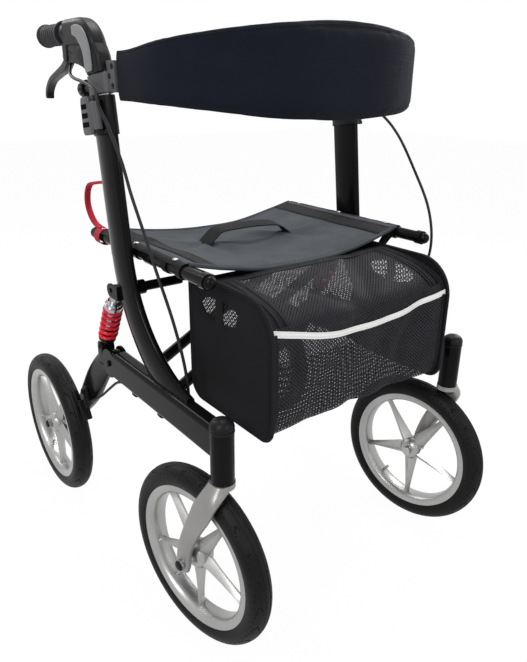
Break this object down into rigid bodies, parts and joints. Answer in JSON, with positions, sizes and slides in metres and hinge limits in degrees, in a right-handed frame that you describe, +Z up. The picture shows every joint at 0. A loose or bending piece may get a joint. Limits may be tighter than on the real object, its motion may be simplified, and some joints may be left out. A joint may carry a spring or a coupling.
{
  "type": "all terrain rollator",
  "caption": "Folding outdoor walking frame with large treaded wheels, sprung rear arms, caster forks, sling seat, hanging basket, padded back band and braked handles.",
  "frame": {"origin": "centre of the footprint on the floor", "axes": "+Z up, -Y the way it is pushed, +X to the user's right"},
  "size_m": [0.634, 0.8402, 0.9342],
  "materials": {
    "frame_paint": "gloss",
    "black_plastic": "satin",
    "lever_plastic": "gloss",
    "grey_plastic": "satin",
    "post_aluminium": "satin",
    "cast_silver": "satin",
    "rim_silver": "satin",
    "bolt_steel": "brushed",
    "shock_metal": "satin",
    "shock_black": "satin",
    "spring_red": "gloss",
    "tyre": "matt",
    "grip_rubber": "matt",
    "cable_jacket": "satin",
    "seat_fabric": "woven",
    "basket_fabric": "woven",
    "loop_webbing": "woven",
    "band_fabric": "woven"
  },
  "bodies": {
    "left_frame": {"left_lower_beam": "frame_paint", "left_upright": "frame_paint", "left_head_cap": "black_plastic", "left_height_collar": "black_plastic", "left_shock_body": "shock_metal", "left_spring": "spring_red", "left_brake_cable": "cable_jacket"},
    "left_lock": {"left_height_lock": "grey_plastic"},
    "left_handle": {"left_handle_post": "post_aluminium", "left_handle_housing": "black_plastic", "left_handle_cover": "grey_plastic", "left_grip": "grip_rubber", "left_backrest_bracket": "grey_plastic", "backrest_band": "band_fabric"},
    "left_lever": {"left_brake_lever": "lever_plastic"},
    "left_caster": {"left_fork": "cast_silver", "left_front_axle": "bolt_steel"},
    "left_front_wheel": {"left_front_rim": "rim_silver", "left_front_tyre": "tyre"},
    "left_arm": {"left_swing_arm": "frame_paint", "left_rear_axle": "bolt_steel"},
    "left_rear_wheel": {"left_rear_rim": "rim_silver", "left_rear_tyre": "tyre"},
    "left_shoe": {"left_brake_shoe": "black_plastic"},
    "left_damper": {"left_shock_rod": "shock_black"},
    "right_frame": {"right_lower_beam": "frame_paint", "right_upright": "frame_paint", "right_head_cap": "black_plastic", "right_height_collar": "black_plastic", "right_shock_body": "shock_metal", "right_spring": "spring_red", "right_brake_cable": "cable_jacket"},
    "right_lock": {"right_height_lock": "grey_plastic"},
    "right_handle": {"right_handle_post": "post_aluminium", "right_handle_housing": "black_plastic", "right_handle_cover": "grey_plastic", "right_grip": "grip_rubber", "right_backrest_bracket": "grey_plastic"},
    "right_lever": {"right_brake_lever": "lever_plastic"},
    "right_caster": {"right_fork": "cast_silver", "right_front_axle": "bolt_steel"},
    "right_front_wheel": {"right_front_rim": "rim_silver", "right_front_tyre": "tyre"},
    "right_arm": {"right_swing_arm": "frame_paint", "right_rear_axle": "bolt_steel"},
    "right_rear_wheel": {"right_rear_rim": "rim_silver", "right_rear_tyre": "tyre"},
    "right_shoe": {"right_brake_shoe": "black_plastic"},
    "right_damper": {"right_shock_rod": "shock_black"},
    "brace_a": {"cross_brace_a": "frame_paint", "cross_bolt": "bolt_steel"},
    "brace_b": {"cross_brace_b": "frame_paint"},
    "left_rail": {"left_seat_rail": "frame_paint", "seat_sling": "seat_fabric", "basket_left_panel": "basket_fabric", "basket_mesh": "basket_fabric"},
    "right_rail": {"right_seat_rail": "frame_paint", "basket_right_panel": "basket_fabric"},
    "loop": {"fold_loop": "loop_webbing"}
  },
  "joints": [
    {"name": "fold", "type": "hinge", "parent": "left_frame", "child": "brace_a", "pos_m": [-0.228, -0.07086, 0.352], "axis": [0, -1, 0], "range_deg": [0, 31.5], "deforming": ["seat_sling", "basket_mesh", "backrest_band"]},
    {"name": "brace_cross", "type": "hinge", "parent": "brace_a", "child": "brace_b", "pos_m": [0, -0.07086, 0.471], "axis": [0, -1, 0], "range_deg": [-63.5, 0]},
    {"name": "right_frame_hinge", "type": "hinge", "parent": "brace_b", "child": "right_frame", "pos_m": [0.228, -0.07086, 0.352], "axis": [0, -1, 0], "range_deg": [0, 32]},
    {"name": "left_rail_hinge", "type": "hinge", "parent": "brace_b", "child": "left_rail", "pos_m": [-0.228, -0.07086, 0.59], "axis": [0, -1, 0], "range_deg": [0, 32]},
    {"name": "right_rail_hinge", "type": "hinge", "parent": "brace_a", "child": "right_rail", "pos_m": [0.228, -0.07086, 0.59], "axis": [0, -1, 0], "range_deg": [-32, 0]},
    {"name": "left_lock_swing", "type": "hinge", "parent": "left_frame", "child": "left_lock", "pos_m": [-0.273, -0.03957, 0.77173], "axis": [0, 0.1219, 0.9925], "range_deg": [0, 65]},
    {"name": "left_handle_height", "type": "slide", "parent": "left_frame", "child": "left_handle", "axis": [0, 0.1219, 0.9925], "range_m": [0, 0.12], "deforming": ["left_brake_cable", "right_brake_cable"]},
    {"name": "left_brake", "type": "hinge", "parent": "left_handle", "child": "left_lever", "pos_m": [-0.254, 0.09314, 0.88235], "axis": [1, 0, 0], "range_deg": [0, 18], "stiffness_Nm_per_rad": 0.8, "springref_deg": -17.19},
    {"name": "left_swivel", "type": "hinge", "parent": "left_frame", "child": "left_caster", "pos_m": [-0.257, -0.32686, 0.318], "axis": [0, 0, 1], "continuous": true},
    {"name": "left_front_spin", "type": "hinge", "parent": "left_caster", "child": "left_front_wheel", "pos_m": [-0.26507, -0.26942, 0.152], "axis": [0.9903, 0.1392, 0], "continuous": true},
    {"name": "left_suspension", "type": "hinge", "parent": "left_frame", "child": "left_arm", "pos_m": [-0.257, 0.01314, 0.379], "axis": [1, 0, 0], "range_deg": [0, 6], "stiffness_Nm_per_rad": 300, "springref_deg": -5.73, "deforming": ["left_spring"]},
    {"name": "left_rear_spin", "type": "hinge", "parent": "left_arm", "child": "left_rear_wheel", "pos_m": [-0.293, 0.26814, 0.152], "axis": [1, 0, 0], "continuous": true},
    {"name": "left_shoe_swing", "type": "hinge", "parent": "left_arm", "child": "left_shoe", "pos_m": [-0.257, 0.13914, 0.273], "axis": [1, 0, 0], "range_deg": [0, 3]},
    {"name": "left_damper_slide", "type": "slide", "parent": "left_frame", "child": "left_damper", "axis": [0, -0.4833, 0.8755], "range_m": [0, 0.006]},
    {"name": "right_lock_swing", "type": "hinge", "parent": "right_frame", "child": "right_lock", "pos_m": [0.273, -0.03957, 0.77173], "axis": [0, -0.1219, -0.9925], "range_deg": [0, 65]},
    {"name": "right_handle_height", "type": "slide", "parent": "right_frame", "child": "right_handle", "axis": [0, 0.1219, 0.9925], "range_m": [0, 0.12], "deforming": ["right_brake_cable"]},
    {"name": "right_brake", "type": "hinge", "parent": "right_handle", "child": "right_lever", "pos_m": [0.254, 0.09314, 0.88235], "axis": [1, 0, 0], "range_deg": [0, 18], "stiffness_Nm_per_rad": 0.8, "springref_deg": -17.19},
    {"name": "right_swivel", "type": "hinge", "parent": "right_frame", "child": "right_caster", "pos_m": [0.257, -0.32686, 0.318], "axis": [0, 0, 1], "continuous": true},
    {"name": "right_front_spin", "type": "hinge", "parent": "right_caster", "child": "right_front_wheel", "pos_m": [0.24893, -0.26942, 0.152], "axis": [0.9903, 0.1392, 0], "continuous": true},
    {"name": "right_suspension", "type": "hinge", "parent": "right_frame", "child": "right_arm", "pos_m": [0.257, 0.01314, 0.379], "axis": [1, 0, 0], "range_deg": [0, 6], "stiffness_Nm_per_rad": 300, "springref_deg": -5.73, "deforming": ["right_spring"]},
    {"name": "right_rear_spin", "type": "hinge", "parent": "right_arm", "child": "right_rear_wheel", "pos_m": [0.293, 0.26814, 0.152], "axis": [1, 0, 0], "continuous": true},
    {"name": "right_shoe_swing", "type": "hinge", "parent": "right_arm", "child": "right_shoe", "pos_m": [0.257, 0.13914, 0.273], "axis": [1, 0, 0], "range_deg": [0, 3]},
    {"name": "right_damper_slide", "type": "slide", "parent": "right_frame", "child": "right_damper", "axis": [0, -0.4833, 0.8755], "range_m": [0, 0.006]},
    {"name": "loop_swing", "type": "hinge", "parent": "left_rail", "child": "loop", "pos_m": [-0.228, 0.05064, 0.59], "axis": [0, 1, 0], "range_deg": [0, 70]}
  ],
  "couplings": [
    {"joint": "brace_cross", "follows": "fold", "ratio": -2},
    {"joint": "right_frame_hinge", "follows": "fold", "ratio": 1},
    {"joint": "left_rail_hinge", "follows": "fold", "ratio": 1},
    {"joint": "right_rail_hinge", "follows": "fold", "ratio": -1},
    {"joint": "left_shoe_swing", "follows": "left_brake", "ratio": 0.14},
    {"joint": "left_damper_slide", "follows": "left_suspension", "m_per_rad": 0.0433},
    {"joint": "right_shoe_swing", "follows": "right_brake", "ratio": 0.14},
    {"joint": "right_damper_slide", "follows": "right_suspension", "m_per_rad": 0.0433},
    {"joint": "right_handle_height", "follows": "left_handle_height", "ratio": 1}
  ]
}
